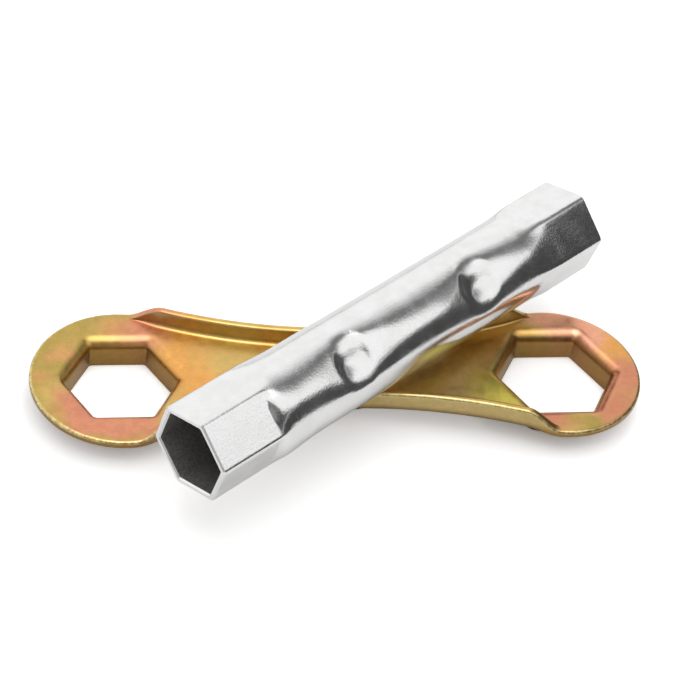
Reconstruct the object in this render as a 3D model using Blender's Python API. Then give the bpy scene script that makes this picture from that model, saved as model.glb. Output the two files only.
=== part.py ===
"""Two-piece spark plug wrench: a hex-ended plug tube lying across its pressed ring handle.

The tube's bore runs along +X and the handle lies under it on the feet of its two hex collars.
Driving dimensions are in millimetres. The scene is in metres, +Z up, with the floor at z = 0.
"""

import math

import bmesh
import bpy

MM = 0.001

# Plug tube: round steel tube with both ends swaged to a hexagon and dimples pressed in its sides.
TUBE_LENGTH = 115.8
TUBE_RADIUS = 10.15
TUBE_WALL = 1.45
NEAR_HEX_OUTSIDE = 18.9
NEAR_HEX_INSIDE = 16.1
FAR_HEX_OUTSIDE = 19.4
FAR_HEX_INSIDE = 16.5
NEAR_HEX_LENGTH = 15.8
NEAR_TRANSITION = 4.1
NEAR_CREASE = 5.0
FAR_HEX_LENGTH = 13.0
FAR_TRANSITION = 9.0
HEX_FILLET_OUTSIDE = 1.3
HEX_FILLET_INSIDE = 0.5
END_CHAMFER = 0.35
TUBE_ROLL = math.radians(14.4)
DIMPLE_STATIONS = (40.2, 78.4)
DIMPLE_ANGLES = (math.radians(41), math.radians(221))
PRESS_DEPTH = 0.85
PRESS_AROUND = 5.6
PRESS_ALONG = 4.1
PRESS_SQUARENESS = 1.35
PRESS_EASE = 2.8
DISH_DEPTH = 1.3
DISH_AROUND = 4.4
DISH_ALONG = 8.2

# Handle: one sheet pressing with two rings, raised edge flanges and hex collars drawn downwards.
HOLE_SPACING = 97.1
LEFT_RING_RADIUS = 19.9
RIGHT_RING_RADIUS = 19.2
LEFT_HOLE_ACROSS_FLATS = 21.1
RIGHT_HOLE_ACROSS_FLATS = 22.5
HOLE_FILLET = 0.8
HOLE_ENTRY_RADIUS = 3.0
SHEET = 1.9
PLATE_TOP = 7.2
COLLAR_WALL = 1.0
COLLAR_CORNER = 4.5
COLLAR_FILLET = 0.8
COLLAR_TAPER = 0.5
TAPER_HEIGHT = 3.0
FOOT_CHAMFER = 0.15
WAIST_HALF_WIDTH = 10.6
FLANGE_RISE = 4.2
FLANGE_TIP = 46.2
FLANGE_RAMP = 9.0
FLANGE_THICKNESS = 1.9
FLANGE_DRAFT = 0.05
FLANGE_BEND = 1.5
LEAST_BEND = 0.4
EDGE_ROUND = 0.7

# How the two pieces lie on each other, seen from above, about the middle of the handle.
HANDLE_ANGLE = math.radians(-36.9)
HANDLE_CENTRE = (-2.26, -0.35)
TUBE_START = (-54.83, -7.17)
CONTACT_GAP = 0.3

# Finishes
ZINC_COLOUR = (0.60, 0.43, 0.14)
ZINC_ROUGHNESS = 0.32
BRIGHT_COLOUR = (0.78, 0.78, 0.80)
BRIGHT_ROUGHNESS = 0.16

HEX_SIDES = 6
HEX_SECTOR = 60.0
HALF_TURN = 180.0
MERGE_DISTANCE = 0.001
SHARP_EDGE = math.radians(28)


def rounded_hexagon(angle, apothem, fillet):
    """Distance from the centre to a hexagon with rounded corners, one of them at angle 0."""
    sector = math.radians(HEX_SECTOR)
    from_corner = abs((angle + sector / 2) % sector - sector / 2)
    from_flat = sector / 2 - from_corner
    core = apothem - fillet
    tangent = math.atan(core * math.tan(sector / 2) / apothem)
    if from_flat <= tangent:
        return apothem / math.cos(from_flat)
    corner_centre = core / math.cos(sector / 2)
    across = corner_centre * math.sin(from_corner)
    return corner_centre * math.cos(from_corner) + math.sqrt(fillet**2 - across**2)


def blend(low, high, share):
    return low + (high - low) * share


def smooth_step(value):
    value = min(max(value, 0.0), 1.0)
    return value * value * (3 - 2 * value)


def add_object(name, mesh_builder, colour, roughness):
    """Makes a closed mesh from a builder that fills a bmesh in millimetres."""
    shape = bmesh.new()
    mesh_builder(shape)
    bmesh.ops.remove_doubles(shape, verts=shape.verts, dist=MERGE_DISTANCE)
    bmesh.ops.recalc_face_normals(shape, faces=shape.faces)
    bmesh.ops.scale(shape, vec=(MM, MM, MM), verts=shape.verts)
    mesh = bpy.data.meshes.new(name)
    shape.to_mesh(mesh)
    shape.free()
    mesh.shade_smooth()
    mesh.set_sharp_from_angle(angle=SHARP_EDGE)
    finish = bpy.data.materials.new(name + "_finish")
    finish.use_nodes = True
    shader = finish.node_tree.nodes["Principled BSDF"]
    shader.inputs["Base Color"].default_value = (*colour, 1.0)
    shader.inputs["Metallic"].default_value = 1.0
    shader.inputs["Roughness"].default_value = roughness
    mesh.materials.append(finish)
    piece = bpy.data.objects.new(name, mesh)
    bpy.context.scene.collection.objects.link(piece)
    return piece


def join_rings(shape, first, second):
    """Quads between two closed rings of the same number of vertices."""
    count = len(first)
    for i in range(count):
        after = (i + 1) % count
        shape.faces.new((first[i], first[after], second[after], second[i]))


# Plug tube

SECTOR_ANGLES = (0.0, 3.6, 12.0, 21.0, 30.0, 39.0, 48.0, 56.4)
PRESS_REACH = 6.6
DISH_REACHES = (8.4, 11.0, 14.5)
OUTER_STEP = 1.1
INNER_STEP = 2.2
OUTER_TRANSITION_STEPS = 6
INNER_TRANSITION_STEPS = 3


def tube_angles():
    for corner in range(HEX_SIDES):
        for offset in SECTOR_ANGLES:
            yield math.radians(HEX_SECTOR * corner + offset) + TUBE_ROLL


def roundness(station):
    """0 in the hexagonal ends, 1 in the round middle. The near end has a crease, the far one none."""
    if station < TUBE_LENGTH / 2:
        share = min(max((station - NEAR_HEX_LENGTH) / NEAR_TRANSITION, 0.0), 1.0)
        return 1 - (1 - share) ** NEAR_CREASE
    return smooth_step((TUBE_LENGTH - station - FAR_HEX_LENGTH) / FAR_TRANSITION)


def press_share(reach):
    """1 in the middle of a press mark, falling off like a flattened wall and easing out at the rim."""
    past = min(max(reach - PRESS_AROUND, 0.0), PRESS_EASE)
    fall = min(reach, PRESS_AROUND) ** 2 + 2 * PRESS_AROUND * (past - past**2 / (2 * PRESS_EASE))
    return 1 - fall / (PRESS_AROUND**2 + PRESS_AROUND * PRESS_EASE)


def dimple_depth(station, angle):
    """How far the wall is pushed in. Each dimple is a flattened press mark in a broad soft dish."""
    depth = 0.0
    for centre in DIMPLE_STATIONS:
        along = abs(station - centre)
        for middle in DIMPLE_ANGLES:
            turn = (angle - middle + math.pi) % (2 * math.pi) - math.pi
            around = TUBE_RADIUS * turn
            reach = math.hypot(around, PRESS_AROUND * (along / PRESS_ALONG) ** PRESS_SQUARENESS)
            depth += PRESS_DEPTH * press_share(reach)
            depth += DISH_DEPTH * math.exp(-((along / DISH_ALONG) ** 2) - (around / DISH_AROUND) ** 2)
    return depth


def tube_radius(station, angle, near_hex, far_hex, fillet, middle_radius):
    across = near_hex if station < TUBE_LENGTH / 2 else far_hex
    hexagon = rounded_hexagon(angle - TUBE_ROLL, across / 2, fillet)
    radius = blend(hexagon, middle_radius, roundness(station))
    return radius - dimple_depth(station, angle)


def outer_radius(station, angle):
    return tube_radius(
        station, angle, NEAR_HEX_OUTSIDE, FAR_HEX_OUTSIDE, HEX_FILLET_OUTSIDE, TUBE_RADIUS
    )


def inner_radius(station, angle):
    return tube_radius(
        station, angle, NEAR_HEX_INSIDE, FAR_HEX_INSIDE, HEX_FILLET_INSIDE, TUBE_RADIUS - TUBE_WALL
    )


def tube_stations(dimple_step, transition_steps):
    """Stations between the chamfers: close together at the transitions and at the dimples."""
    far_transition = TUBE_LENGTH - FAR_HEX_LENGTH - FAR_TRANSITION
    stations = [NEAR_HEX_LENGTH / 2, TUBE_LENGTH / 2, TUBE_LENGTH - FAR_HEX_LENGTH / 2]
    for step in range(transition_steps + 1):
        share = step / transition_steps
        stations.append(NEAR_HEX_LENGTH + NEAR_TRANSITION * share**2)
        stations.append(far_transition + FAR_TRANSITION * share)
    count = round(PRESS_REACH / dimple_step)
    for centre in DIMPLE_STATIONS:
        stations += [centre + PRESS_REACH * step / count for step in range(-count, count + 1)]
        stations += [centre + side * reach for side in (-1, 1) for reach in DISH_REACHES]
    return sorted(stations)


def tube_ring(shape, station, radius_at):
    ring = []
    for angle in tube_angles():
        radius = radius_at(station, angle)
        ring.append(shape.verts.new((station, -radius * math.sin(angle), radius * math.cos(angle))))
    return ring


def build_tube(shape):
    def outer_chamfer(station, angle):
        return outer_radius(station, angle) - END_CHAMFER

    def inner_chamfer(station, angle):
        return inner_radius(station, angle) + END_CHAMFER

    far_chamfer = TUBE_LENGTH - END_CHAMFER
    outer_stations = [END_CHAMFER, *tube_stations(OUTER_STEP, OUTER_TRANSITION_STEPS), far_chamfer]
    inner_stations = tube_stations(INNER_STEP, INNER_TRANSITION_STEPS)
    inner_stations = [far_chamfer, *reversed(inner_stations), END_CHAMFER]
    rings = [tube_ring(shape, 0.0, inner_chamfer), tube_ring(shape, 0.0, outer_chamfer)]
    rings += [tube_ring(shape, station, outer_radius) for station in outer_stations]
    rings.append(tube_ring(shape, TUBE_LENGTH, outer_chamfer))
    rings.append(tube_ring(shape, TUBE_LENGTH, inner_chamfer))
    rings += [tube_ring(shape, station, inner_radius) for station in inner_stations]
    for first, second in zip(rings, rings[1:] + rings[:1]):
        join_rings(shape, first, second)


# Ring handle

HALF_SPACING = HOLE_SPACING / 2
SECTOR_OFFSETS = (0.0, 3.5, 12.0, 21.0, 30.0, 39.0, 48.0, 56.5)
HALF_CORNERS = (0.0, HEX_SECTOR, 2 * HEX_SECTOR)
RAMP_OFFSETS = (0, 1.5, 4, 7, 11, 15, 20, 26, 33)
RAY_CLEARANCE = 1.6
QUARTER_STEPS = (0, 30, 60, 90)
COARSE_STEPS = (0, 45, 90)


def flange_rise(along):
    """Height of the edge flange over the plate, by distance from the middle of the handle."""
    share = min(max((FLANGE_TIP - abs(along)) / FLANGE_RAMP, 0.0), 1.0)
    return FLANGE_RISE * (1 - (1 - share) ** 2)


def quarter_turn(degrees):
    """Cosine and sine of each step of a rounded edge."""
    for step in degrees:
        turn = math.radians(step)
        yield math.cos(turn), math.sin(turn)


class HandleHalf:
    """One ring with its half of the waist, about the ring's centre, with the waist towards -X."""

    def __init__(self, ring_radius, hole_across_flats):
        self.ring_radius = ring_radius
        self.apothem = hole_across_flats / 2
        # The waist's edge is an arc, level at the middle of the handle and tangent to the ring.
        chord = HALF_SPACING**2 + WAIST_HALF_WIDTH**2 - ring_radius**2
        self.arc_radius = chord / (2 * (ring_radius - WAIST_HALF_WIDTH))
        self.arc_height = WAIST_HALF_WIDTH + self.arc_radius
        self.tangent_angle = math.atan2(self.arc_height, -HALF_SPACING)
        self.tip_angle = math.acos((FLANGE_TIP - HALF_SPACING) / ring_radius)
        self.corner_angle = math.pi - math.atan2(WAIST_HALF_WIDTH, HALF_SPACING)

    def edge(self, angle):
        """Point on the outer edge in this direction, and the edge's outward normal."""
        side = math.copysign(1.0, angle)
        cosine, sine = math.cos(angle), math.sin(abs(angle))
        if abs(angle) <= self.tangent_angle:
            return (self.ring_radius * cosine, self.ring_radius * sine * side), (cosine, sine * side)
        along = self.arc_height * sine - HALF_SPACING * cosine
        spare = HALF_SPACING**2 + self.arc_height**2 - self.arc_radius**2
        reach = along - math.sqrt(along**2 - spare)
        x, y = reach * cosine, reach * sine
        normal_x = (-HALF_SPACING - x) / self.arc_radius
        normal_y = (self.arc_height - y) / self.arc_radius
        return (x, y * side), (normal_x, normal_y * side)

    def hexagon_point(self, angle, outward, fillet, height):
        radius = rounded_hexagon(angle, self.apothem + outward, fillet)
        return (radius * math.cos(angle), radius * math.sin(angle), height)

    def hole_point(self, angle, outward, height):
        return self.hexagon_point(angle, outward, HOLE_FILLET + outward, height)

    def collar_point(self, angle, outward, height):
        return self.hexagon_point(angle, outward, COLLAR_CORNER, height)

    def hole_chain(self, angle):
        """Up the hole wall and over its rounded entry on to the plate."""
        top = PLATE_TOP - HOLE_ENTRY_RADIUS
        chain = [self.hole_point(angle, FOOT_CHAMFER, 0.0)]
        chain.append(self.hole_point(angle, 0.0, FOOT_CHAMFER))
        chain.append(self.hole_point(angle, 0.0, top))
        for cosine, sine in quarter_turn(QUARTER_STEPS[1:]):
            outward = HOLE_ENTRY_RADIUS * (1 - cosine)
            chain.append(self.hole_point(angle, outward, top + HOLE_ENTRY_RADIUS * sine))
        return chain

    def rim_chain(self, angle):
        """From the plate up the flange's bend, over its crest and down to the underside."""
        point, normal = self.edge(angle)
        rise = flange_rise(HALF_SPACING + point[0])
        share = rise / FLANGE_RISE
        crest = PLATE_TOP + rise
        bend = blend(LEAST_BEND, FLANGE_BEND, share)
        lower_round = blend(EDGE_ROUND, FLANGE_BEND + FLANGE_THICKNESS, share)
        profile = []
        for cosine, sine in quarter_turn(QUARTER_STEPS):
            inset = FLANGE_THICKNESS + bend * (1 - sine)
            profile.append((inset, PLATE_TOP + share * bend * (1 - cosine)))
        for cosine, sine in quarter_turn(COARSE_STEPS):
            inset = FLANGE_THICKNESS - FLANGE_DRAFT - EDGE_ROUND * (1 - cosine)
            profile.append((inset, crest - share * EDGE_ROUND * (1 - sine)))
        for cosine, sine in quarter_turn(reversed(COARSE_STEPS)):
            profile.append((EDGE_ROUND * (1 - cosine), crest - EDGE_ROUND * (1 - sine)))
        for cosine, sine in quarter_turn(QUARTER_STEPS):
            height = PLATE_TOP - SHEET + lower_round * (1 - sine)
            profile.append((lower_round * (1 - cosine), height))
        return [
            (point[0] - inset * normal[0], point[1] - inset * normal[1], height)
            for inset, height in profile
        ]

    def collar_chain(self, angle):
        """From the underside down the outside of the hex collar to its foot."""
        under = PLATE_TOP - SHEET
        chain = []
        for cosine, sine in quarter_turn(COARSE_STEPS):
            outward = COLLAR_WALL + COLLAR_FILLET * (1 - sine)
            chain.append(self.collar_point(angle, outward, under - COLLAR_FILLET * (1 - cosine)))
        for cosine, sine in quarter_turn(COARSE_STEPS):
            outward = COLLAR_WALL - COLLAR_TAPER * (1 - cosine)
            chain.append(self.collar_point(angle, outward, TAPER_HEIGHT * (1 - sine)))
        return chain

    def section(self, angle):
        """Closed outline of the sheet on one ray. Where the ray meets the middle, it has no rim."""
        hole = self.hole_chain(angle)
        collar = self.collar_chain(angle)
        if abs(angle) <= self.corner_angle:
            rim = self.rim_chain(angle)
        else:
            middle = (-HALF_SPACING, -HALF_SPACING * math.tan(angle))
            rim = [(*middle, PLATE_TOP)] + [None] * self.rim_gap + [(*middle, PLATE_TOP - SHEET)]
        return hole + rim + collar

    @property
    def rim_gap(self):
        return len(self.rim_chain(0.0)) - 2

    def ray_angles(self):
        """Rays at the hexagon's corners and evenly between, closer together on the flange ramps."""
        tip = math.degrees(self.tip_angle)
        chosen = [tip + offset for offset in RAMP_OFFSETS] + [math.degrees(self.corner_angle)]
        half = list(chosen)
        for corner in HALF_CORNERS:
            for ray in (corner + offset for offset in SECTOR_OFFSETS):
                if min(abs(ray - other) for other in chosen) > RAY_CLEARANCE:
                    half.append(ray)
        half.sort()
        mirrored = [-ray for ray in reversed(half[1:])]
        return [math.radians(ray) for ray in mirrored + half + [HALF_TURN]]


def add_half(shape, half, turned):
    """Adds one half of the pressing. The turned half faces the other way along X."""
    sign = -1.0 if turned else 1.0

    def corner(point):
        if point is None:
            return None
        return shape.verts.new((sign * (HALF_SPACING + point[0]), sign * point[1], point[2]))

    sections = [[corner(point) for point in half.section(angle)] for angle in half.ray_angles()]
    count = len(sections[0])
    for first, second in zip(sections, sections[1:] + sections[:1]):
        for j in range(count):
            after = (j + 1) % count
            face = (first[j], first[after], second[after], second[j])
            if None not in face:
                shape.faces.new(face)


def build_handle(shape):
    add_half(shape, HandleHalf(LEFT_RING_RADIUS, LEFT_HOLE_ACROSS_FLATS), turned=True)
    add_half(shape, HandleHalf(RIGHT_RING_RADIUS, RIGHT_HOLE_ACROSS_FLATS), turned=False)


def main():
    for old in list(bpy.data.objects):
        bpy.data.objects.remove(old)
    handle = add_object("ring_handle", build_handle, ZINC_COLOUR, ZINC_ROUGHNESS)
    handle.rotation_euler.z = HANDLE_ANGLE
    handle.location = (HANDLE_CENTRE[0] * MM, HANDLE_CENTRE[1] * MM, 0.0)
    tube = add_object("plug_tube", build_tube, BRIGHT_COLOUR, BRIGHT_ROUGHNESS)
    axis_height = PLATE_TOP + FLANGE_RISE + CONTACT_GAP + TUBE_RADIUS
    tube.location = (TUBE_START[0] * MM, TUBE_START[1] * MM, axis_height * MM)


main()
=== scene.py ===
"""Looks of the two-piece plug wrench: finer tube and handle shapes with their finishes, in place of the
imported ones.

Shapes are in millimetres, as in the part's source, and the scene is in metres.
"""

import math

import bmesh
import bpy
from mathutils import Matrix, Vector, noise


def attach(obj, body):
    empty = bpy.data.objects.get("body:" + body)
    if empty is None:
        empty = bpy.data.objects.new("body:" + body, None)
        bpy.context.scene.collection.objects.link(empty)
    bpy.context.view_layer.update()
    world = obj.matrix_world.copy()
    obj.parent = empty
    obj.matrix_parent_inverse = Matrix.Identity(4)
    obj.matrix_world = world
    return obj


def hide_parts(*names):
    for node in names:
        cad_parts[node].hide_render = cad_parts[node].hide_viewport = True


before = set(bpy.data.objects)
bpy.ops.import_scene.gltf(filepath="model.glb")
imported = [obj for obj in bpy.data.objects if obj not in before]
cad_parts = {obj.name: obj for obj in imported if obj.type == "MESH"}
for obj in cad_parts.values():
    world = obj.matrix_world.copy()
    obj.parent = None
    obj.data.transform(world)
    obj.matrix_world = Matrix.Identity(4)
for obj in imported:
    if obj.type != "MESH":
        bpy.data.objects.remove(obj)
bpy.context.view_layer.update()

MM = 0.001
MERGE_DISTANCE = 0.0005
SHARP_ANGLE = math.radians(28)
HEX_CORNERS = 6
HEX_SECTOR = 360 / HEX_CORNERS
HALF_TURN = 180

# Plug tube: its crease and far corners are softer than in the source, and the bulge is only here
TUBE_LENGTH = 115.8
TUBE_RADIUS = 10.15
TUBE_WALL = 1.45
NEAR_HEX_OUTSIDE = 18.9
NEAR_HEX_INSIDE = 16.1
FAR_HEX_OUTSIDE = 19.4
FAR_HEX_INSIDE = 16.5
NEAR_HEX_LENGTH = 15.8
NEAR_TRANSITION = 4.1
NEAR_CREASE = 2.4
FAR_HEX_LENGTH = 13.0
FAR_TRANSITION = 9.0
HEX_FILLET_OUTSIDE = 1.3
FAR_FILLET_OUTSIDE = 2.1
BULGE = 0.55
BULGE_PLACE = 19.0
BULGE_REACH = 6.0
HEX_FILLET_INSIDE = 0.5
END_CHAMFER = 0.35
TUBE_ROLL = math.radians(14.4)
DIMPLE_STATIONS = (40.2, 78.4)
DIMPLE_ANGLES = (math.radians(41), math.radians(221))
PRESS_DEPTH = 0.85
PRESS_AROUND = 5.6
PRESS_ALONG = 4.1
PRESS_SQUARENESS = 1.35
PRESS_EASE = 2.8
DISH_DEPTH = 1.3
DISH_AROUND = 4.4
DISH_ALONG = 8.2

# Ring handle: its flanges run out more smoothly and bend more tightly than in the source
HOLE_SPACING = 97.1
LEFT_RING_RADIUS = 19.9
RIGHT_RING_RADIUS = 19.2
LEFT_HOLE_ACROSS_FLATS = 21.1
RIGHT_HOLE_ACROSS_FLATS = 22.5
HOLE_FILLET = 0.8
HOLE_ENTRY_RADIUS = 3.0
SHEET = 1.9
PLATE_TOP = 7.2
COLLAR_WALL = 1.0
COLLAR_CORNER = 4.5
COLLAR_FILLET = 0.8
COLLAR_TAPER = 0.5
TAPER_HEIGHT = 3.0
FOOT_CHAMFER = 0.15
WAIST_HALF_WIDTH = 10.6
FLANGE_RISE = 4.2
FLANGE_TIP = 46.2
FLANGE_RAMP = 8.0
FLANGE_THICKNESS = 1.9
FLANGE_DRAFT = 0.05
FLANGE_BEND = 1.0
LEAST_BEND = 0.4
EDGE_ROUND = 0.7

# How the two pieces lie
HANDLE_ANGLE = math.radians(-36.9)
HANDLE_CENTRE = (-2.26, -0.35)
TUBE_START = (-54.83, -7.17)
CONTACT_GAP = 0.3

# Small unevenness of the real surfaces: depth and length of the waves
TUBE_WAVE_DEPTH = 0.035
TUBE_WAVE_LENGTH = 7.0
SHEET_WAVE_DEPTH = 0.06
SHEET_WAVE_LENGTH = 9.0

# Camera of the photograph
CAMERA_AZIMUTH = math.radians(-50.83)
CAMERA_ELEVATION = math.radians(43.78)
CAMERA_ROLL = math.radians(9.05)
CAMERA_DISTANCE = 527.52
CAMERA_TARGET = (10.04, 8.59, 0.0)
CAMERA_LENS = 119.46
CAMERA_SENSOR = 36.0


# Shared shapes


def rounded_hexagon(angle, apothem, fillet):
    """Distance from the centre to a hexagon with rounded corners, one of them at angle 0."""
    sector = math.pi / 3
    from_corner = abs((angle + sector / 2) % sector - sector / 2)
    from_flat = sector / 2 - from_corner
    core = apothem - fillet
    tangent = math.atan(core * math.tan(sector / 2) / apothem)
    if from_flat <= tangent:
        return apothem / math.cos(from_flat)
    corner_centre = core / math.cos(sector / 2)
    across = corner_centre * math.sin(from_corner)
    return corner_centre * math.cos(from_corner) + math.sqrt(fillet**2 - across**2)


def blend(low, high, share):
    return low + (high - low) * share


def smooth_step(value):
    value = min(max(value, 0.0), 1.0)
    return value * value * (3 - 2 * value)


def evenly(low, high, step):
    """Values from low to high, both included, about a step apart."""
    count = max(1, round((high - low) / step))
    return [blend(low, high, i / count) for i in range(count + 1)]


def wave(place):
    """Smooth unevenness from 0 to 1."""
    return 0.5 + 0.5 * noise.noise(place)


def finish_mesh(name, shape, place, materials):
    """Turns a bmesh in millimetres into a smooth object in metres, with its place in its mesh."""
    bmesh.ops.remove_doubles(shape, verts=shape.verts, dist=MERGE_DISTANCE)
    bmesh.ops.recalc_face_normals(shape, faces=shape.faces)
    bmesh.ops.transform(shape, matrix=place, verts=shape.verts)
    bmesh.ops.scale(shape, vec=(MM, MM, MM), verts=shape.verts)
    mesh = bpy.data.meshes.new(name)
    shape.to_mesh(mesh)
    shape.free()
    mesh.shade_smooth()
    mesh.set_sharp_from_angle(angle=SHARP_ANGLE)
    for material in materials:
        mesh.materials.append(material)
    piece = bpy.data.objects.new(name, mesh)
    bpy.context.scene.collection.objects.link(piece)
    return piece


# Plug tube: spacing of its rays, in degrees, and of its rings, in millimetres

CORNER_REACH = 4.2
CORNER_STEP = 0.6
FLAT_STEP = 2.2
OUTER_STEP = 0.45
INNER_STEP = 1.0
OUTSIDE_MATERIAL, BORE_MATERIAL = 0, 1


def tube_angles():
    sector = evenly(-CORNER_REACH, CORNER_REACH, CORNER_STEP)
    sector += evenly(CORNER_REACH, HEX_SECTOR - CORNER_REACH, FLAT_STEP)[1:-1]
    for corner in range(HEX_CORNERS):
        for offset in sector:
            yield math.radians(HEX_SECTOR * corner + offset) + TUBE_ROLL


def roundness(station):
    """0 in the hexagonal ends, 1 in the round middle. The near end has a crease, the far one none."""
    if station < TUBE_LENGTH / 2:
        share = min(max((station - NEAR_HEX_LENGTH) / NEAR_TRANSITION, 0.0), 1.0)
        return 1 - (1 - share) ** NEAR_CREASE
    return smooth_step((TUBE_LENGTH - station - FAR_HEX_LENGTH) / FAR_TRANSITION)


def press_share(reach):
    """1 in the middle of a press mark, falling off like a flattened wall and easing out at the rim."""
    past = min(max(reach - PRESS_AROUND, 0.0), PRESS_EASE)
    fall = min(reach, PRESS_AROUND) ** 2 + 2 * PRESS_AROUND * (past - past**2 / (2 * PRESS_EASE))
    return 1 - fall / (PRESS_AROUND**2 + PRESS_AROUND * PRESS_EASE)


def dimple_depth(station, angle):
    """How far the wall is pushed in. Each dimple is a flattened press mark in a broad soft dish."""
    depth = 0.0
    for centre in DIMPLE_STATIONS:
        along = abs(station - centre)
        for middle in DIMPLE_ANGLES:
            turn = (angle - middle + math.pi) % (2 * math.pi) - math.pi
            around = TUBE_RADIUS * turn
            reach = math.hypot(around, PRESS_AROUND * (along / PRESS_ALONG) ** PRESS_SQUARENESS)
            depth += PRESS_DEPTH * press_share(reach)
            depth += DISH_DEPTH * math.exp(-((along / DISH_ALONG) ** 2) - (around / DISH_AROUND) ** 2)
    return depth


def tube_radius(station, angle, near_hex, far_hex, fillet, middle_radius):
    across = near_hex if station < TUBE_LENGTH / 2 else far_hex
    hexagon = rounded_hexagon(angle - TUBE_ROLL, across / 2, fillet)
    radius = blend(hexagon, middle_radius, roundness(station))
    return radius - dimple_depth(station, angle)


def tube_wave(station, angle):
    """Slight unevenness left by drawing and swaging, always inwards."""
    place = Vector((station, TUBE_RADIUS * math.sin(angle), TUBE_RADIUS * math.cos(angle)))
    return TUBE_WAVE_DEPTH * wave(place / TUBE_WAVE_LENGTH)


def outer_radius(station, angle):
    fillet = HEX_FILLET_OUTSIDE if station < TUBE_LENGTH / 2 else FAR_FILLET_OUTSIDE
    bulge = BULGE * math.exp(-(((station - BULGE_PLACE) / BULGE_REACH) ** 2))
    middle = TUBE_RADIUS + bulge
    radius = tube_radius(station, angle, NEAR_HEX_OUTSIDE, FAR_HEX_OUTSIDE, fillet, middle)
    return radius - tube_wave(station, angle)


def inner_radius(station, angle):
    middle = TUBE_RADIUS - TUBE_WALL
    return tube_radius(station, angle, NEAR_HEX_INSIDE, FAR_HEX_INSIDE, HEX_FILLET_INSIDE, middle)


def tube_ring(shape, angles, station, radius_at, shift=0.0):
    ring = []
    for angle in angles:
        radius = radius_at(station, angle) + shift
        ring.append(shape.verts.new((station, -radius * math.sin(angle), radius * math.cos(angle))))
    return ring


def build_tube(shape):
    """Rings along the outside to the far end, and back through the bore to the near end."""
    angles = list(tube_angles())
    far_chamfer = TUBE_LENGTH - END_CHAMFER
    rings = [tube_ring(shape, angles, 0.0, outer_radius, -END_CHAMFER)]
    stations = evenly(END_CHAMFER, NEAR_HEX_LENGTH, OUTER_STEP)
    stations += evenly(NEAR_HEX_LENGTH, far_chamfer, OUTER_STEP)[1:]
    for station in stations:
        rings.append(tube_ring(shape, angles, station, outer_radius))
    rings.append(tube_ring(shape, angles, TUBE_LENGTH, outer_radius, -END_CHAMFER))
    rings.append(tube_ring(shape, angles, TUBE_LENGTH, inner_radius, END_CHAMFER))
    bore_start = len(rings)
    for station in reversed(evenly(END_CHAMFER, far_chamfer, INNER_STEP)):
        rings.append(tube_ring(shape, angles, station, inner_radius))
    bore_end = len(rings) - 1
    rings.append(tube_ring(shape, angles, 0.0, inner_radius, END_CHAMFER))
    for number, first in enumerate(rings):
        second = rings[(number + 1) % len(rings)]
        in_bore = bore_start <= number < bore_end
        for i, corner in enumerate(first):
            after = (i + 1) % len(first)
            face = shape.faces.new((corner, first[after], second[after], second[i]))
            face.material_index = BORE_MATERIAL if in_bore else OUTSIDE_MATERIAL


# Ring handle: offsets, steps of rounded edges and clearance are in degrees

HALF_SPACING = HOLE_SPACING / 2
HOLE_CORNER_OFFSETS = (0.0, 0.6, 1.2, 1.8, 2.4, 3.2, 4.2, 5.4)
HOLE_FLAT_STEP = 2.0
RAY_CLEARANCE = 0.25
ROUND_STEPS = range(0, 91, 9)
CREST_STEPS = range(0, 91, 15)
PLATE_STEPS = 8
WALL_STEPS = 4
WEAR_HIGHLIGHT_LAYER = "edge_wear_and_highlight"


def flange_rise(along):
    """Height of the edge flange over the plate, by distance from the middle of the handle."""
    share = min(max((FLANGE_TIP - abs(along)) / FLANGE_RAMP, 0.0), 1.0)
    return FLANGE_RISE * smooth_step(share)


def quarter_turn(degrees):
    """Cosine and sine of each step of a rounded edge."""
    for step in degrees:
        turn = math.radians(step)
        yield math.cos(turn), math.sin(turn)


def between(first, last, steps):
    """Points inside the straight run from one point to another."""
    return [
        tuple(blend(low, high, step / steps) for low, high in zip(first, last))
        for step in range(1, steps)
    ]


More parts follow.
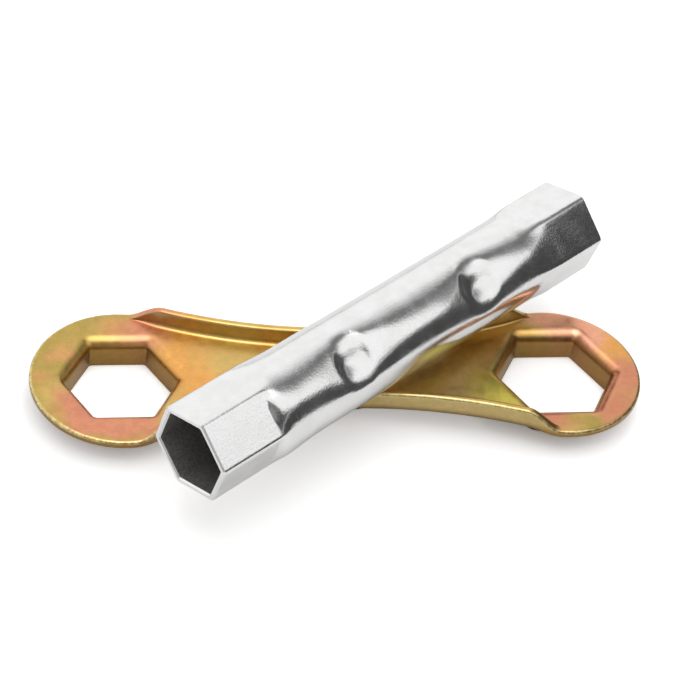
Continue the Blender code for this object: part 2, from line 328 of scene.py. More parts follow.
class HandleHalf:
    """One ring with its half of the waist, about the ring's centre, with the waist towards -X."""

    def __init__(self, ring_radius, hole_across_flats):
        self.ring_radius = ring_radius
        self.apothem = hole_across_flats / 2
        # The waist's edge is an arc, level at the middle of the handle and tangent to the ring.
        chord = HALF_SPACING**2 + WAIST_HALF_WIDTH**2 - ring_radius**2
        self.arc_radius = chord / (2 * (ring_radius - WAIST_HALF_WIDTH))
        self.arc_height = WAIST_HALF_WIDTH + self.arc_radius
        self.tangent_angle = math.atan2(self.arc_height, -HALF_SPACING)
        self.tip_angle = math.acos((FLANGE_TIP - HALF_SPACING) / ring_radius)
        self.corner_angle = math.pi - math.atan2(WAIST_HALF_WIDTH, HALF_SPACING)

    def edge(self, angle):
        """Point on the outer edge in this direction, and the edge's outward normal."""
        side = math.copysign(1.0, angle)
        cosine, sine = math.cos(angle), math.sin(abs(angle))
        if abs(angle) <= self.tangent_angle:
            return (self.ring_radius * cosine, self.ring_radius * sine * side), (cosine, sine * side)
        along = self.arc_height * sine - HALF_SPACING * cosine
        spare = HALF_SPACING**2 + self.arc_height**2 - self.arc_radius**2
        reach = along - math.sqrt(along**2 - spare)
        x, y = reach * cosine, reach * sine
        normal_x = (-HALF_SPACING - x) / self.arc_radius
        normal_y = (self.arc_height - y) / self.arc_radius
        return (x, y * side), (normal_x, normal_y * side)

    def hexagon_point(self, angle, outward, fillet, height, wear_and_highlight):
        radius = rounded_hexagon(angle, self.apothem + outward, fillet)
        return (radius * math.cos(angle), radius * math.sin(angle), height, wear_and_highlight)

    def hole_point(self, angle, outward, height, wear_and_highlight=0.0):
        return self.hexagon_point(angle, outward, HOLE_FILLET + outward, height, wear_and_highlight)

    def collar_point(self, angle, outward, height, wear_and_highlight=0.0):
        return self.hexagon_point(angle, outward, COLLAR_CORNER, height, wear_and_highlight)

    def hole_chain(self, angle):
        """Up the hole wall and over its rounded entry on to the plate."""
        top = PLATE_TOP - HOLE_ENTRY_RADIUS
        chain = [self.hole_point(angle, FOOT_CHAMFER, 0.0)]
        chain.append(self.hole_point(angle, 0.0, FOOT_CHAMFER))
        wall_top = self.hole_point(angle, 0.0, top)
        chain += between(chain[-1], wall_top, WALL_STEPS)
        for cosine, sine in quarter_turn(ROUND_STEPS):
            outward = HOLE_ENTRY_RADIUS * (1 - cosine)
            chain.append(self.hole_point(angle, outward, top + HOLE_ENTRY_RADIUS * sine))
        return chain

    def rim_chain(self, angle):
        """From the plate up the flange's bend, over its crest and down to the underside."""
        point, normal = self.edge(angle)
        rise = flange_rise(HALF_SPACING + point[0])
        share = rise / FLANGE_RISE
        crest = PLATE_TOP + rise
        bend = blend(LEAST_BEND, FLANGE_BEND, share)
        lower_round = blend(EDGE_ROUND, FLANGE_BEND + FLANGE_THICKNESS, share)
        profile = []
        for cosine, sine in quarter_turn(ROUND_STEPS):
            inset = FLANGE_THICKNESS + bend * (1 - sine)
            profile.append((inset, PLATE_TOP + share * bend * (1 - cosine), 0.0))
        for cosine, sine in quarter_turn(CREST_STEPS):
            inset = FLANGE_THICKNESS - FLANGE_DRAFT - EDGE_ROUND * (1 - cosine)
            profile.append((inset, crest - share * EDGE_ROUND * (1 - sine), 0.0))
        # Wear and a painted highlight are strongest halfway round the crest's outer edge.
        for cosine, sine in quarter_turn(reversed(CREST_STEPS)):
            height = crest - EDGE_ROUND * (1 - sine)
            profile.append((EDGE_ROUND * (1 - cosine), height, 2 * sine * cosine))
        foot = (0.0, PLATE_TOP - SHEET + lower_round, 0.0)
        profile += between(profile[-1], foot, WALL_STEPS)
        for cosine, sine in quarter_turn(ROUND_STEPS):
            height = PLATE_TOP - SHEET + lower_round * (1 - sine)
            profile.append((lower_round * (1 - cosine), height, 0.0))
        return [
            (point[0] - inset * normal[0], point[1] - inset * normal[1], height, wear_and_highlight)
            for inset, height, wear_and_highlight in profile
        ]

    def collar_chain(self, angle):
        """From the underside down the outside of the hex collar to its foot."""
        under = PLATE_TOP - SHEET
        chain = []
        for cosine, sine in quarter_turn(CREST_STEPS):
            outward = COLLAR_WALL + COLLAR_FILLET * (1 - sine)
            chain.append(self.collar_point(angle, outward, under - COLLAR_FILLET * (1 - cosine)))
        for cosine, sine in quarter_turn(CREST_STEPS):
            outward = COLLAR_WALL - COLLAR_TAPER * (1 - cosine)
            chain.append(self.collar_point(angle, outward, TAPER_HEIGHT * (1 - sine)))
        return chain

    def section(self, angle):
        """Closed outline of the sheet on one ray. Where the ray meets the middle, it has no rim."""
        hole = self.hole_chain(angle)
        collar = self.collar_chain(angle)
        if abs(angle) <= self.corner_angle:
            rim = self.rim_chain(angle)
        else:
            middle = (-HALF_SPACING, -HALF_SPACING * math.tan(angle))
            rim = [(*middle, PLATE_TOP, 0.0)]
            rim += [None] * self.rim_gap
            rim.append((*middle, PLATE_TOP - SHEET, 0.0))
        top_face = between(hole[-1], rim[0], PLATE_STEPS)
        under_face = between(rim[-1], collar[0], WALL_STEPS)
        return hole + top_face + rim + under_face + collar

    @property
    def rim_gap(self):
        return len(self.rim_chain(0.0)) - 2

    def ray_angles(self):
        """Rays crowded at the hexagon's corners, with others at the flange tips and the middle."""
        half = [math.degrees(self.tip_angle), math.degrees(self.corner_angle)]
        rays = []
        corners = [HEX_SECTOR * count for count in range(HEX_CORNERS // 2 + 1)]
        for corner in corners:
            rays += [corner + side * offset for side in (-1, 1) for offset in HOLE_CORNER_OFFSETS]
        reach = HOLE_CORNER_OFFSETS[-1]
        for corner, following in zip(corners, corners[1:]):
            rays += evenly(corner + reach, following - reach, HOLE_FLAT_STEP)
        for ray in rays:
            if 0 <= ray < HALF_TURN and min(abs(ray - other) for other in half) > RAY_CLEARANCE:
                half.append(ray)
        half.sort()
        mirrored = [-ray for ray in reversed(half[1:])]
        return [math.radians(ray) for ray in mirrored + half + [HALF_TURN]]


def sheet_wave(x, y, height):
    """Slight dishing of the pressed sheet, always downwards, and none at the feet."""
    if height < PLATE_TOP - SHEET:
        return 0.0
    return SHEET_WAVE_DEPTH * wave(Vector((x, y, height)) / SHEET_WAVE_LENGTH)


def add_half(shape, half, turned):
    """Adds one half of the pressing. The turned half faces the other way along X."""
    sign = -1.0 if turned else 1.0
    wear_highlight_layer = shape.verts.layers.float[WEAR_HIGHLIGHT_LAYER]

    def corner(point):
        if point is None:
            return None
        along, across, height, wear_and_highlight = point
        x = sign * (HALF_SPACING + along)
        y = sign * across
        vertex = shape.verts.new((x, y, height - sheet_wave(x, y, height)))
        vertex[wear_highlight_layer] = wear_and_highlight
        return vertex

    sections = [[corner(point) for point in half.section(angle)] for angle in half.ray_angles()]
    count = len(sections[0])
    for first, second in zip(sections, sections[1:] + sections[:1]):
        for j in range(count):
            after = (j + 1) % count
            face = (first[j], first[after], second[after], second[j])
            if None not in face:
                shape.faces.new(face)


def build_handle(shape):
    shape.verts.layers.float.new(WEAR_HIGHLIGHT_LAYER)
    add_half(shape, HandleHalf(LEFT_RING_RADIUS, LEFT_HOLE_ACROSS_FLATS), turned=True)
    add_half(shape, HandleHalf(RIGHT_RING_RADIUS, RIGHT_HOLE_ACROSS_FLATS), turned=False)


# Materials

MIX_FACTOR, MIX_FIRST, MIX_SECOND, MIX_COLOUR_RESULT = 0, 6, 7, 2


class Finish:
    """A material under construction, with short ways to add its texture nodes."""

    def __init__(self, name, start, turn=0.0):
        """The texture's place is in millimetres from the piece's own start, along its own length."""
        self.material = bpy.data.materials.new(name)
        self.material.use_nodes = True
        self.tree = self.material.node_tree
        self.shader = self.tree.nodes["Principled BSDF"]
        own = self.node("ShaderNodeMapping", vector_type="TEXTURE")
        self.put(own.inputs["Vector"], self.node("ShaderNodeTexCoord").outputs["Object"])
        own.inputs["Location"].default_value = (start[0] * MM, start[1] * MM, 0.0)
        own.inputs["Rotation"].default_value = (0.0, 0.0, turn)
        own.inputs["Scale"].default_value = (MM, MM, MM)
        self.place = own.outputs[0]

    def node(self, kind, **settings):
        made = self.tree.nodes.new(kind)
        for setting, value in settings.items():
            setattr(made, setting, value)
        return made

    def put(self, socket, value):
        """Gives a socket a plain value or another node's output."""
        if isinstance(value, bpy.types.NodeSocket):
            self.tree.links.new(value, socket)
        elif isinstance(value, tuple) and len(value) < len(socket.default_value):
            socket.default_value = (*value, 1.0)
        else:
            socket.default_value = value

    def vector(self, operation, first, second=None, scale=None):
        made = self.node("ShaderNodeVectorMath", operation=operation)
        self.put(made.inputs[0], first)
        if second is not None:
            self.put(made.inputs[1], second)
        if scale is not None:
            made.inputs["Scale"].default_value = scale
        return made.outputs["Value" if operation == "DISTANCE" else "Vector"]

    def sum(self, operation, first, second):
        made = self.node("ShaderNodeMath", operation=operation)
        self.put(made.inputs[0], first)
        self.put(made.inputs[1], second)
        return made.outputs[0]

    def axis(self, vector, name):
        """One part of a vector: X, Y or Z."""
        made = self.node("ShaderNodeSeparateXYZ")
        self.put(made.inputs[0], vector)
        return made.outputs[name]

    def noise(self, size, detail=2.0, place=None, output="Fac"):
        """Noise whose features are about this many millimetres across."""
        made = self.node("ShaderNodeTexNoise")
        self.put(made.inputs["Vector"], place or self.place)
        made.inputs["Scale"].default_value = 1.0 / size
        made.inputs["Detail"].default_value = detail
        return made.outputs[output]

    def ranged(self, value, low, high, to_low=0.0, to_high=1.0):
        """A smooth ramp from one range of values to another."""
        made = self.node("ShaderNodeMapRange", interpolation_type="SMOOTHSTEP")
        for socket, given in zip(made.inputs, (value, low, high, to_low, to_high)):
            self.put(socket, given)
        return made.outputs[0]

    def mix(self, factor, first, second, blend_type="MIX"):
        made = self.node("ShaderNodeMix", data_type="RGBA", blend_type=blend_type)
        self.put(made.inputs[MIX_FACTOR], factor)
        self.put(made.inputs[MIX_FIRST], first)
        self.put(made.inputs[MIX_SECOND], second)
        return made.outputs[MIX_COLOUR_RESULT]

    def bump(self, height, depth, under=None):
        """Bumps of this depth in millimetres, over another bump if one is given."""
        made = self.node("ShaderNodeBump")
        made.inputs["Distance"].default_value = depth * MM
        self.put(made.inputs["Height"], height)
        if under is not None:
            self.put(made.inputs["Normal"], under)
        return made.outputs[0]

    def set(self, **values):
        for name, value in values.items():
            self.put(self.shader.inputs[name.replace("_", " ")], value)


NOISE_MIDDLE = (0.5, 0.5, 0.5)
NOISE_RANGE = (0.3, 0.7)

GOLD = (0.66, 0.40, 0.12)
STRAW = (0.72, 0.50, 0.17)
OLIVE = (0.50, 0.36, 0.10)
ORANGE = (0.86, 0.42, 0.12)
SALMON = (0.72, 0.29, 0.175)
# Plating hue made lighter as painted light on the waist
GREEN_GOLD_WITH_PAINTED_LIGHT = (0.78, 0.66, 0.12)
# Painted shade for the steep faces low down: hole walls, collar and rim sides
PAINTED_SHADE_BROWN = (0.29, 0.165, 0.045)
BLUSH = (0.68, 0.36, 0.14)
# Painted shade for the steep flange faces
PAINTED_SHADE_OLIVE = (0.53, 0.41, 0.18)
# Plating hue made lighter as painted light on the waist
UMBER_WITH_PAINTED_LIGHT = (0.70, 0.52, 0.22)
PALE_SALMON = (0.95, 0.45, 0.29)
# Pale worn edges, also a painted highlight on the flange crests
PALE_WEAR_HIGHLIGHT = (0.85, 0.74, 0.38)

# Where the plating's tints lie on the handle: tint, centre and reach
PLATING_TINTS = (
    (ORANGE, (-34.0, 5.0, 0.0), 12.0),
    (ORANGE, (-29.0, -3.0, 0.0), 11.0),
    (STRAW, (-25.0, 6.0, 0.0), 9.0),
    # Umber and green-gold on the right waist are plating hue, lightened as painted light where the tube
    # darkens the reflection
    (UMBER_WITH_PAINTED_LIGHT, (24.0, -3.0, 0.0), 14.0),
    (GREEN_GOLD_WITH_PAINTED_LIGHT, (35.0, -6.0, 0.0), 9.0),
    (OLIVE, (-66.0, 4.0, 0.0), 13.0),
    (OLIVE, (-57.0, 17.0, 0.0), 9.0),
    (SALMON, (-55.5, -13.5, 0.0), 11.0),
    (SALMON, (-59.0, -8.5, 0.0), 5.0),
    (SALMON, (-46.0, -17.0, 0.0), 10.0),
    (BLUSH, (-50.0, 15.5, 0.0), 5.5),
    (BLUSH, (-62.0, 8.0, 0.0), 4.0),
    (BLUSH, (-66.0, -0.5, 0.0), 3.5),
    (SALMON, (-42.0, 15.0, 0.0), 8.0),
    (SALMON, (64.0, -2.0, 0.0), 10.0),
    (PALE_SALMON, (58.0, 11.0, 0.0), 10.0),
    (PALE_SALMON, (50.0, 17.0, 0.0), 8.0),
    (SALMON, (59.0, -12.0, 0.0), 8.0),
    (SALMON, (47.0, -15.0, 0.0), 4.5),
    (ORANGE, (63.5, 7.0, 0.0), 5.0),
    (ORANGE, (36.5, -3.0, 0.0), 4.5),
    (OLIVE, (52.5, -17.0, 0.0), 4.5),
)

# The tints drift, and each fades out between two shares of its reach
DRIFT_SIZE = 9.0
DRIFT_DEPTH = 10.0
FLATTEN = (1.0, 1.0, 0.0)
GROUND_SIZE = 8.0
GROUND_RANGE = (0.35, 0.65)
TINT_HEART = 0.2
TINT_RIM = 1.15
TINT_SHARE = 0.95

# An olive band lies along the left ring's rim. Steep faces get a painted shade, browner low down and
# olive on the flanges
RIM_CENTRE = (-HALF_SPACING, 0.0, 0.0)
RIM_WIDTH = 3.5
RIM_START = -HALF_SPACING + 9.0
RIM_FULL = -HALF_SPACING - 2.0
RIM_SHARE = 0.75
PAINTED_SHADE_SHARE = 0.85
PAINTED_SHADE_RANGE = (0.3, 0.8)
FLANGE_HEIGHTS = (PLATE_TOP - 1.0, PLATE_TOP + 1.5)

# Pale specks of wear and painted highlight on the edges, and the fine grain and mottle of the plating
SPECK_SIZE = 0.8
SPECK_RANGE = (0.4, 0.6)
SPECK_SHARES = (0.3, 1.0)
ZINC_GRAIN_SIZE = 0.3
GRAIN_SHADES = (0.95, 1.05)
MOTTLE_SIZE = 1.6
MOTTLE_DETAIL = 1.0
MOTTLE_SHADES = (0.94, 1.04)
ZINC_ROUGHNESS = (0.29, 0.36)
WORN_ROUGHNESS = 0.1
ZINC_BUMP = 0.004


def zinc_finish():
    """Yellow zinc plating: gold with soft pink, orange and green bloom, fine grain and an olive rim
    band; painted shade on steep faces, painted highlights on worn edges, painted light in two waist
    tints.
    """
    finish = Finish("yellow_zinc_plating", HANDLE_CENTRE, HANDLE_ANGLE)
    drift = finish.vector("SUBTRACT", finish.noise(DRIFT_SIZE, output="Color"), NOISE_MIDDLE)
    drifted = finish.vector("ADD", finish.place, finish.vector("SCALE", drift, scale=DRIFT_DEPTH))
    flat = finish.vector("MULTIPLY", drifted, FLATTEN)
    colour = finish.mix(finish.ranged(finish.noise(GROUND_SIZE), *GROUND_RANGE), GOLD, STRAW)
    for tint, centre, reach in PLATING_TINTS:
        away = finish.vector("DISTANCE", flat, centre)
        share = finish.ranged(away, TINT_HEART * reach, TINT_RIM * reach, TINT_SHARE, 0.0)
        colour = finish.mix(share, colour, tint)
    away = finish.vector("DISTANCE", flat, RIM_CENTRE)
    band = finish.ranged(away, LEFT_RING_RADIUS - RIM_WIDTH, LEFT_RING_RADIUS, 0.0, RIM_SHARE)
    on_ring = finish.ranged(finish.axis(flat, "X"), RIM_FULL, RIM_START, 1.0, 0.0)
    colour = finish.mix(finish.sum("MULTIPLY", band, on_ring), colour, OLIVE)
    # Steep faces darken towards a painted shade colour, brown low down and olive on the flange faces
    raised = finish.ranged(finish.axis(finish.place, "Z"), *FLANGE_HEIGHTS)
    painted_shade_tint = finish.mix(raised, PAINTED_SHADE_BROWN, PAINTED_SHADE_OLIVE)
    facing = finish.axis(finish.node("ShaderNodeNewGeometry").outputs["Normal"], "Z")
    painted_side_shade = finish.ranged(facing, *PAINTED_SHADE_RANGE, PAINTED_SHADE_SHARE, 0.0)
    colour = finish.mix(painted_side_shade, colour, painted_shade_tint)
    # Pale worn edges with a painted highlight, strongest halfway round the flange crests
    edge = finish.node("ShaderNodeAttribute", attribute_name=WEAR_HIGHLIGHT_LAYER).outputs["Fac"]
    specks = finish.ranged(finish.noise(SPECK_SIZE), *SPECK_RANGE, *SPECK_SHARES)
    edge = finish.sum("MULTIPLY", edge, specks)
    colour = finish.mix(edge, colour, PALE_WEAR_HIGHLIGHT)
    grain = finish.noise(ZINC_GRAIN_SIZE)
    mottle = finish.noise(MOTTLE_SIZE, MOTTLE_DETAIL)
    shade = finish.ranged(mottle, *NOISE_RANGE, *MOTTLE_SHADES)
    shade = finish.sum("MULTIPLY", shade, finish.ranged(grain, *NOISE_RANGE, *GRAIN_SHADES))
    satin = finish.ranged(mottle, *NOISE_RANGE, *ZINC_ROUGHNESS)
    shaded = finish.node("ShaderNodeCombineColor")
    for socket in shaded.inputs:
        finish.put(socket, shade)
    finish.set(
        Base_Color=finish.mix(1.0, colour, shaded.outputs[0], "MULTIPLY"),
        Metallic=1.0,
        Roughness=finish.sum("ADD", satin, finish.sum("MULTIPLY", edge, WORN_ROUGHNESS)),
        Normal=finish.bump(grain, ZINC_BUMP, finish.bump(mottle, ZINC_BUMP)),
    )
    return finish.material


FINE_DETAIL = 3.0
LINE_STRETCH = (0.05, 1.0, 1.0)
LINE_SIZE = 0.4
LINE_BUMP = 0.005
PLATING_GRAIN_SIZE = 0.5
PLATING_GRAIN_BUMP = 0.024
CLOUD_SIZE = 4.0
CLOUD_DARK = (0.83, 0.83, 0.82)
CLOUD_LIGHT = (0.89, 0.89, 0.89)
CLOUD_ROUGHNESS = (0.08, 0.14)
HAZE_SIZE = 0.3
HAZE_RANGE = (0.35, 0.7)
HAZE_ROUGHNESS = (0.0, 0.12)


def bright_finish():
    """Bright plating on drawn tube: fine grain and faint lines along the tube."""
    finish = Finish("bright_tube_plating", TUBE_START)
    along = finish.vector("MULTIPLY", finish.place, LINE_STRETCH)
    lines = finish.noise(LINE_SIZE, FINE_DETAIL, along)
    grain = finish.noise(PLATING_GRAIN_SIZE, FINE_DETAIL)
    cloud = finish.noise(CLOUD_SIZE, FINE_DETAIL)
    haze = finish.ranged(finish.noise(HAZE_SIZE, FINE_DETAIL), *HAZE_RANGE, *HAZE_ROUGHNESS)
    finish.set(
        Base_Color=finish.mix(finish.ranged(cloud, *NOISE_RANGE), CLOUD_DARK, CLOUD_LIGHT),
        Metallic=1.0,
        Roughness=finish.sum("ADD", finish.ranged(cloud, *NOISE_RANGE, *CLOUD_ROUGHNESS), haze),
        Normal=finish.bump(lines, LINE_BUMP, finish.bump(grain, PLATING_GRAIN_BUMP)),
    )
    return finish.material


BORE_GRAIN_SIZE = 0.5
BORE_DARK = (0.20, 0.195, 0.19)
BORE_LIGHT = (0.34, 0.33, 0.32)
BORE_METALLIC = 0.5
BORE_ROUGHNESS = (0.35, 0.5)
BORE_BUMP = 0.02


def bore_finish():
    """Bare dark steel inside the tube."""
    finish = Finish("dark_bore_steel", TUBE_START)
    grain = finish.noise(BORE_GRAIN_SIZE, FINE_DETAIL)
    finish.set(
        Base_Color=finish.mix(finish.ranged(grain, *NOISE_RANGE), BORE_DARK, BORE_LIGHT),
        Metallic=BORE_METALLIC,
        Roughness=finish.ranged(grain, *NOISE_RANGE, *BORE_ROUGHNESS),
        Normal=finish.bump(grain, BORE_BUMP),
    )
    return finish.material


# Studio: places are to the right of, away from and above the handle's middle, seen from the camera.
# The cards are given by height or by azimuth and elevation in degrees, with 1 as white.

WHITE = (1.0, 1.0, 1.0, 1.0)
FLOOR_SIZE = 6000.0
FLOOR_ALBEDO = 0.94
FLOOR_LIFT = 0.45
FLOOR_MIRROR_LIFT = 0.02
# Painted contact shadow: close under the part the lift falls to this share, as the floor's openness
# falls
CONTACT_SHADOW_REACH = 9.0
CONTACT_SHADOW_OPENNESS = (0.05, 0.6)
CONTACT_SHADOW_SHARE = 0.2
WORLD_STRENGTH = 0.46
SOFTBOX_SIZE = (400.0, 375.0)
SOFTBOX_PLACE = (0.0, -60.0, 500.0)
SOFTBOX_RADIANCE = 1.9
KEY_SIZE = (300.0, 300.0)
KEY_PLACE = (40.0, 330.0, 520.0)
KEY_RADIANCE = 2.5
BLACK_FLAG_RIGHT = 118.0
BLACK_FLAG_SHADES = ((0.5, 0.06), (58.0, 0.06), (64.0, 0.09), (68.0, 0.3), (72.0, 0.8), (74.0, 1.0))
BLACK_FLAG_RISES = ((-320.0, 1.0), (15.0, 1.0), (60.0, 1.2), (320.0, 1.2))
GREY_FLAG_DISTANCE = 450.0
GREY_FLAG_SHADES = (
    (9.0, 1.0),
    (14.0, 0.75),
    (17.5, 0.45),
    (22.0, 0.26),
    (30.0, 0.17),
    (42.0, 0.17),
    (50.0, 0.27),
    (60.0, 0.45),
    (70.0, 0.65),
    (82.0, 0.85),
    (100.0, 1.0),
)
GREY_FLAG_RANGE = (9.0, 100.0)
GREY_FLAG_TOP = 75.0
GREY_GAP_START = 46.0
GREY_GAP_WIDTH = 10.0
GREY_GAP_TOP = 51.0
GREY_GAP_SOFTNESS = 5.0
GREY_CEILING = 62.0
GREY_CEILING_SOFTNESS = 10.0
DOME_STEP = 2.5
FRONT_FLAG_DISTANCE = 430.0
FRONT_FLAG_SHADES = ((-162.0, 0.5), (-100.0, 0.45), (-78.0, 0.3), (-60.0, 0.08), (-12.0, 0.08))
FRONT_FLAG_TOPS = (
    (-162.0, 0.0),
    (-145.0, 40.0),
    (-125.0, 56.0),
    (-66.0, 56.0),
    (-56.0, 46.0),
    (-46.0, 38.0),
    (-34.0, 35.0),
    (-12.0, 31.0),
    (-5.0, 30.0),
)
FRONT_FLAG_RANGE = (-162.0, -5.0)
FRONT_FLAG_TOP = 62.0
FRONT_FLAG_SOFTNESS = 8.0
FLAG_LIFT = 1.0
SHADE_LAYER = "shade"


def studio_point(right, away, up):
    turn = Matrix.Rotation(CAMERA_AZIMUTH, 4, "Z")
    return turn @ Vector((right, away, up)) + Vector((*HANDLE_CENTRE, 0.0))


def ramp_value(points, value):
    """Value of a line through points, level before the first and after the last."""
    for (low, low_value), (high, high_value) in zip(points, points[1:]):
        if value <= high:
            share = min(max((value - low) / (high - low), 0.0), 1.0)
            return blend(low_value, high_value, share)
    return points[-1][1]


def shade_material(name):
    """A card that shows the shade stored in its vertices, as a lit card would."""
    material = bpy.data.materials.new(name)
    material.use_nodes = True
    tree = material.node_tree
    tree.nodes.clear()
    shade = tree.nodes.new("ShaderNodeAttribute")
    shade.attribute_name = SHADE_LAYER
    glow = tree.nodes.new("ShaderNodeEmission")
    output = tree.nodes.new("ShaderNodeOutputMaterial")
    tree.links.new(shade.outputs["Fac"], glow.inputs["Strength"])
    tree.links.new(glow.outputs[0], output.inputs["Surface"])
    return material


def add_flag(name, rows):
    """A studio card from rows of (point, shade). Only reflections see it."""
    shape = bmesh.new()
    layer = shape.verts.layers.float.new(SHADE_LAYER)
    grid = []
    for row in rows:
        corners = []
        for point, shade in row:
            vertex = shape.verts.new(point * MM)
            vertex[layer] = shade
            corners.append(vertex)
        grid.append(corners)
    for lower, upper in zip(grid, grid[1:]):
        for i in range(len(lower) - 1):
            shape.faces.new((lower[i], lower[i + 1], upper[i + 1], upper[i]))
    mesh = bpy.data.meshes.new(name)
    shape.to_mesh(mesh)
    shape.free()
    mesh.materials.append(shade_material(name + "_card"))
    flag = bpy.data.objects.new(name, mesh)
    bpy.context.scene.collection.objects.link(flag)
    flag.visible_camera = False
    flag.visible_diffuse = False
    flag.visible_shadow = False


def add_black_flag():
    rows = []
    for height, shade in BLACK_FLAG_SHADES:
        row = []
        for away, rise in BLACK_FLAG_RISES:
            row.append((studio_point(BLACK_FLAG_RIGHT, away, height * rise), shade))
        rows.append(row)
    add_flag("black_flag", rows)


def add_dome_flag(name, distance, azimuths, top, shade_at):
    """A card bent round the object, from the floor up to an elevation."""
    rows = []
    for elevation in evenly(0.0, top, DOME_STEP):
        rise = math.radians(elevation)
        row = []
        for azimuth in evenly(*azimuths, DOME_STEP):
            turn = math.radians(azimuth)
            right = distance * math.cos(rise) * math.cos(turn)
            away = distance * math.cos(rise) * math.sin(turn)
            point = studio_point(right, away, distance * math.sin(rise) + FLAG_LIFT)
            row.append((point, shade_at(azimuth, elevation)))
        rows.append(row)
    add_flag(name, rows)


def grey_flag_shade(azimuth, elevation):
    """Dark to the right of the back, open behind the object and overhead."""
    shade = ramp_value(GREY_FLAG_SHADES, azimuth)
    past_start = smooth_step((azimuth - GREY_GAP_START) / GREY_GAP_WIDTH)
    below_top = smooth_step((GREY_GAP_TOP - elevation) / GREY_GAP_SOFTNESS)
    overhead = smooth_step((elevation - GREY_CEILING) / GREY_CEILING_SOFTNESS)
    return blend(shade, 1.0, max(past_start * below_top, overhead))


def front_flag_shade(azimuth, elevation):
    """Dark where the photographer stands."""
    below_top = (ramp_value(FRONT_FLAG_TOPS, azimuth) - elevation) / FRONT_FLAG_SOFTNESS
    return blend(1.0, ramp_value(FRONT_FLAG_SHADES, azimuth), smooth_step(below_top))


def add_softbox(name, size, place, radiance):
    """A rectangular lamp, level and facing down unless it is turned."""
    data = bpy.data.lights.new(name, "AREA")
    data.shape = "RECTANGLE"
    data.size, data.size_y = (side * MM for side in size)
    data.energy = radiance * math.pi * data.size * data.size_y
    softbox = bpy.data.objects.new(name, data)
    bpy.context.scene.collection.objects.link(softbox)
    softbox.rotation_euler.z = CAMERA_AZIMUTH
    softbox.location = studio_point(*place) * MM
    softbox.visible_camera = False
    return softbox


def add_lamps():
    add_softbox("overhead_softbox", SOFTBOX_SIZE, SOFTBOX_PLACE, SOFTBOX_RADIANCE)
    key = add_softbox("key_softbox", KEY_SIZE, KEY_PLACE, KEY_RADIANCE)
    towards_middle = studio_point(0.0, 0.0, 0.0) * MM - key.location
    key.rotation_euler = towards_middle.to_track_quat("-Z", "Y").to_euler()
    key.visible_glossy = False


def background_level(tree, soft, direct, mirrored):
    """One level for soft light, another for what the camera sees, another in metal or through glass."""
    path = tree.nodes.new("ShaderNodeLightPath")
    level = soft
    for name, share in (
        ("Is Glossy Ray", mirrored),
        ("Is Transmission Ray", mirrored),
        ("Is Camera Ray", direct),
    ):
        chosen = tree.nodes.new("ShaderNodeMix")
        tree.links.new(path.outputs[name], chosen.inputs["Factor"])
        chosen.inputs["B"].default_value = share
        if level is soft:
            chosen.inputs["A"].default_value = soft
        else:
            tree.links.new(level, chosen.inputs["A"])
        level = chosen.outputs[0]
    return level


def add_floor():
    material = bpy.data.materials.new("pale_floor")
    material.use_nodes = True
    tree = material.node_tree
    shader = tree.nodes["Principled BSDF"]
    shader.inputs["Base Color"].default_value = (FLOOR_ALBEDO, FLOOR_ALBEDO, FLOOR_ALBEDO, 1.0)
    shader.inputs["Roughness"].default_value = 1.0
    shader.inputs["Specular IOR Level"].default_value = 0.0
    shader.inputs["Emission Color"].default_value = WHITE
    lift = background_level(tree, 0.0, FLOOR_LIFT, FLOOR_MIRROR_LIFT)
    # Painted contact shadow: the floor's lift is cut where the floor is hemmed in under the part
    openness = tree.nodes.new("ShaderNodeAmbientOcclusion")
    openness.inputs["Distance"].default_value = CONTACT_SHADOW_REACH * MM
    contact_shadow = tree.nodes.new("ShaderNodeMapRange")
    contact_shadow.interpolation_type = "SMOOTHSTEP"
    tree.links.new(openness.outputs["AO"], contact_shadow.inputs["Value"])
    for name, level in zip(("From Min", "From Max"), CONTACT_SHADOW_OPENNESS):
        contact_shadow.inputs[name].default_value = level
    contact_shadow.inputs["To Min"].default_value = CONTACT_SHADOW_SHARE
    lifted = tree.nodes.new("ShaderNodeMath")
    lifted.operation = "MULTIPLY"
    tree.links.new(lift, lifted.inputs[0])
    tree.links.new(contact_shadow.outputs[0], lifted.inputs[1])
    tree.links.new(lifted.outputs[0], shader.inputs["Emission Strength"])
    bpy.ops.mesh.primitive_plane_add(size=FLOOR_SIZE * MM)
    floor = bpy.context.object
    floor.name = "floor"
    floor.data.materials.append(material)


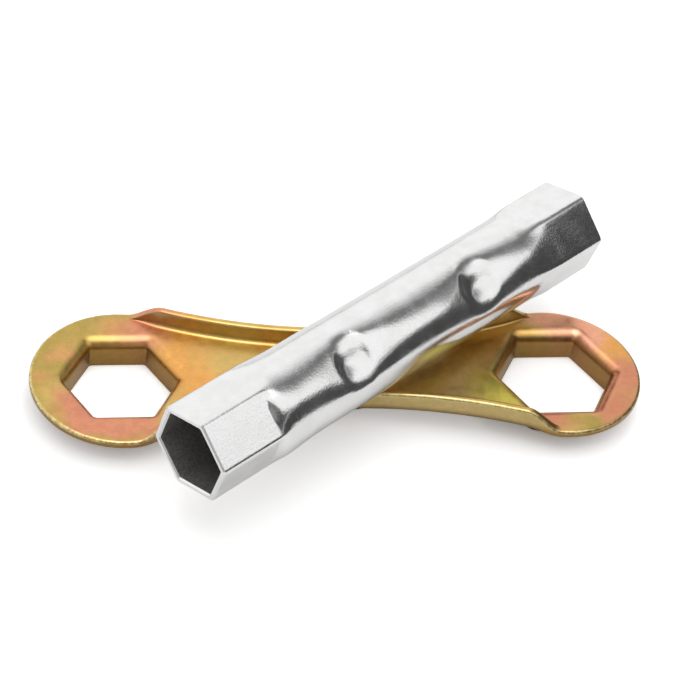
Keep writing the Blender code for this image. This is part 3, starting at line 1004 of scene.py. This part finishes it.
def add_world():
    world = bpy.data.worlds.new("studio")
    bpy.context.scene.world = world
    world.use_nodes = True
    world.cycles.sampling_method = "NONE"
    tree = world.node_tree
    background = tree.nodes["Background"]
    background.inputs["Color"].default_value = WHITE
    level = background_level(tree, WORLD_STRENGTH, 1.0, 1.0)
    tree.links.new(level, background.inputs["Strength"])


def add_camera():
    turn = Matrix.Rotation(CAMERA_AZIMUTH, 3, "Z")
    level = turn @ Vector((1.0, 0.0, 0.0))
    back = turn @ Vector((0.0, -math.cos(CAMERA_ELEVATION), math.sin(CAMERA_ELEVATION)))
    upright = turn @ Vector((0.0, math.sin(CAMERA_ELEVATION), math.cos(CAMERA_ELEVATION)))
    right = math.cos(CAMERA_ROLL) * level + math.sin(CAMERA_ROLL) * upright
    up = math.cos(CAMERA_ROLL) * upright - math.sin(CAMERA_ROLL) * level
    data = bpy.data.cameras.new("camera")
    data.lens = CAMERA_LENS
    data.sensor_width = CAMERA_SENSOR
    camera = bpy.data.objects.new("camera", data)
    bpy.context.scene.collection.objects.link(camera)
    camera.matrix_world = Matrix((right, up, back)).transposed().to_4x4()
    camera.location = (Vector(CAMERA_TARGET) + CAMERA_DISTANCE * back) * MM
    bpy.context.scene.camera = camera


# The scene


def add_handle():
    shape = bmesh.new()
    build_handle(shape)
    place = Matrix.Translation((*HANDLE_CENTRE, 0.0)) @ Matrix.Rotation(HANDLE_ANGLE, 4, "Z")
    handle = finish_mesh("ring_handle_pressing", shape, place, [zinc_finish()])
    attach(handle, "handle")
    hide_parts("ring_handle")


def add_tube():
    shape = bmesh.new()
    build_tube(shape)
    axis_height = PLATE_TOP + FLANGE_RISE + CONTACT_GAP + TUBE_RADIUS
    place = Matrix.Translation((*TUBE_START, axis_height))
    tube = finish_mesh("plug_tube_drawn", shape, place, [bright_finish(), bore_finish()])
    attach(tube, "tube")
    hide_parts("plug_tube")


add_handle()
add_tube()
add_floor()
add_black_flag()
add_dome_flag("grey_flag", GREY_FLAG_DISTANCE, GREY_FLAG_RANGE, GREY_FLAG_TOP, grey_flag_shade)
add_dome_flag("front_flag", FRONT_FLAG_DISTANCE, FRONT_FLAG_RANGE, FRONT_FLAG_TOP, front_flag_shade)
add_lamps()
add_world()
add_camera()
bpy.context.scene.view_settings.view_transform = "Standard"
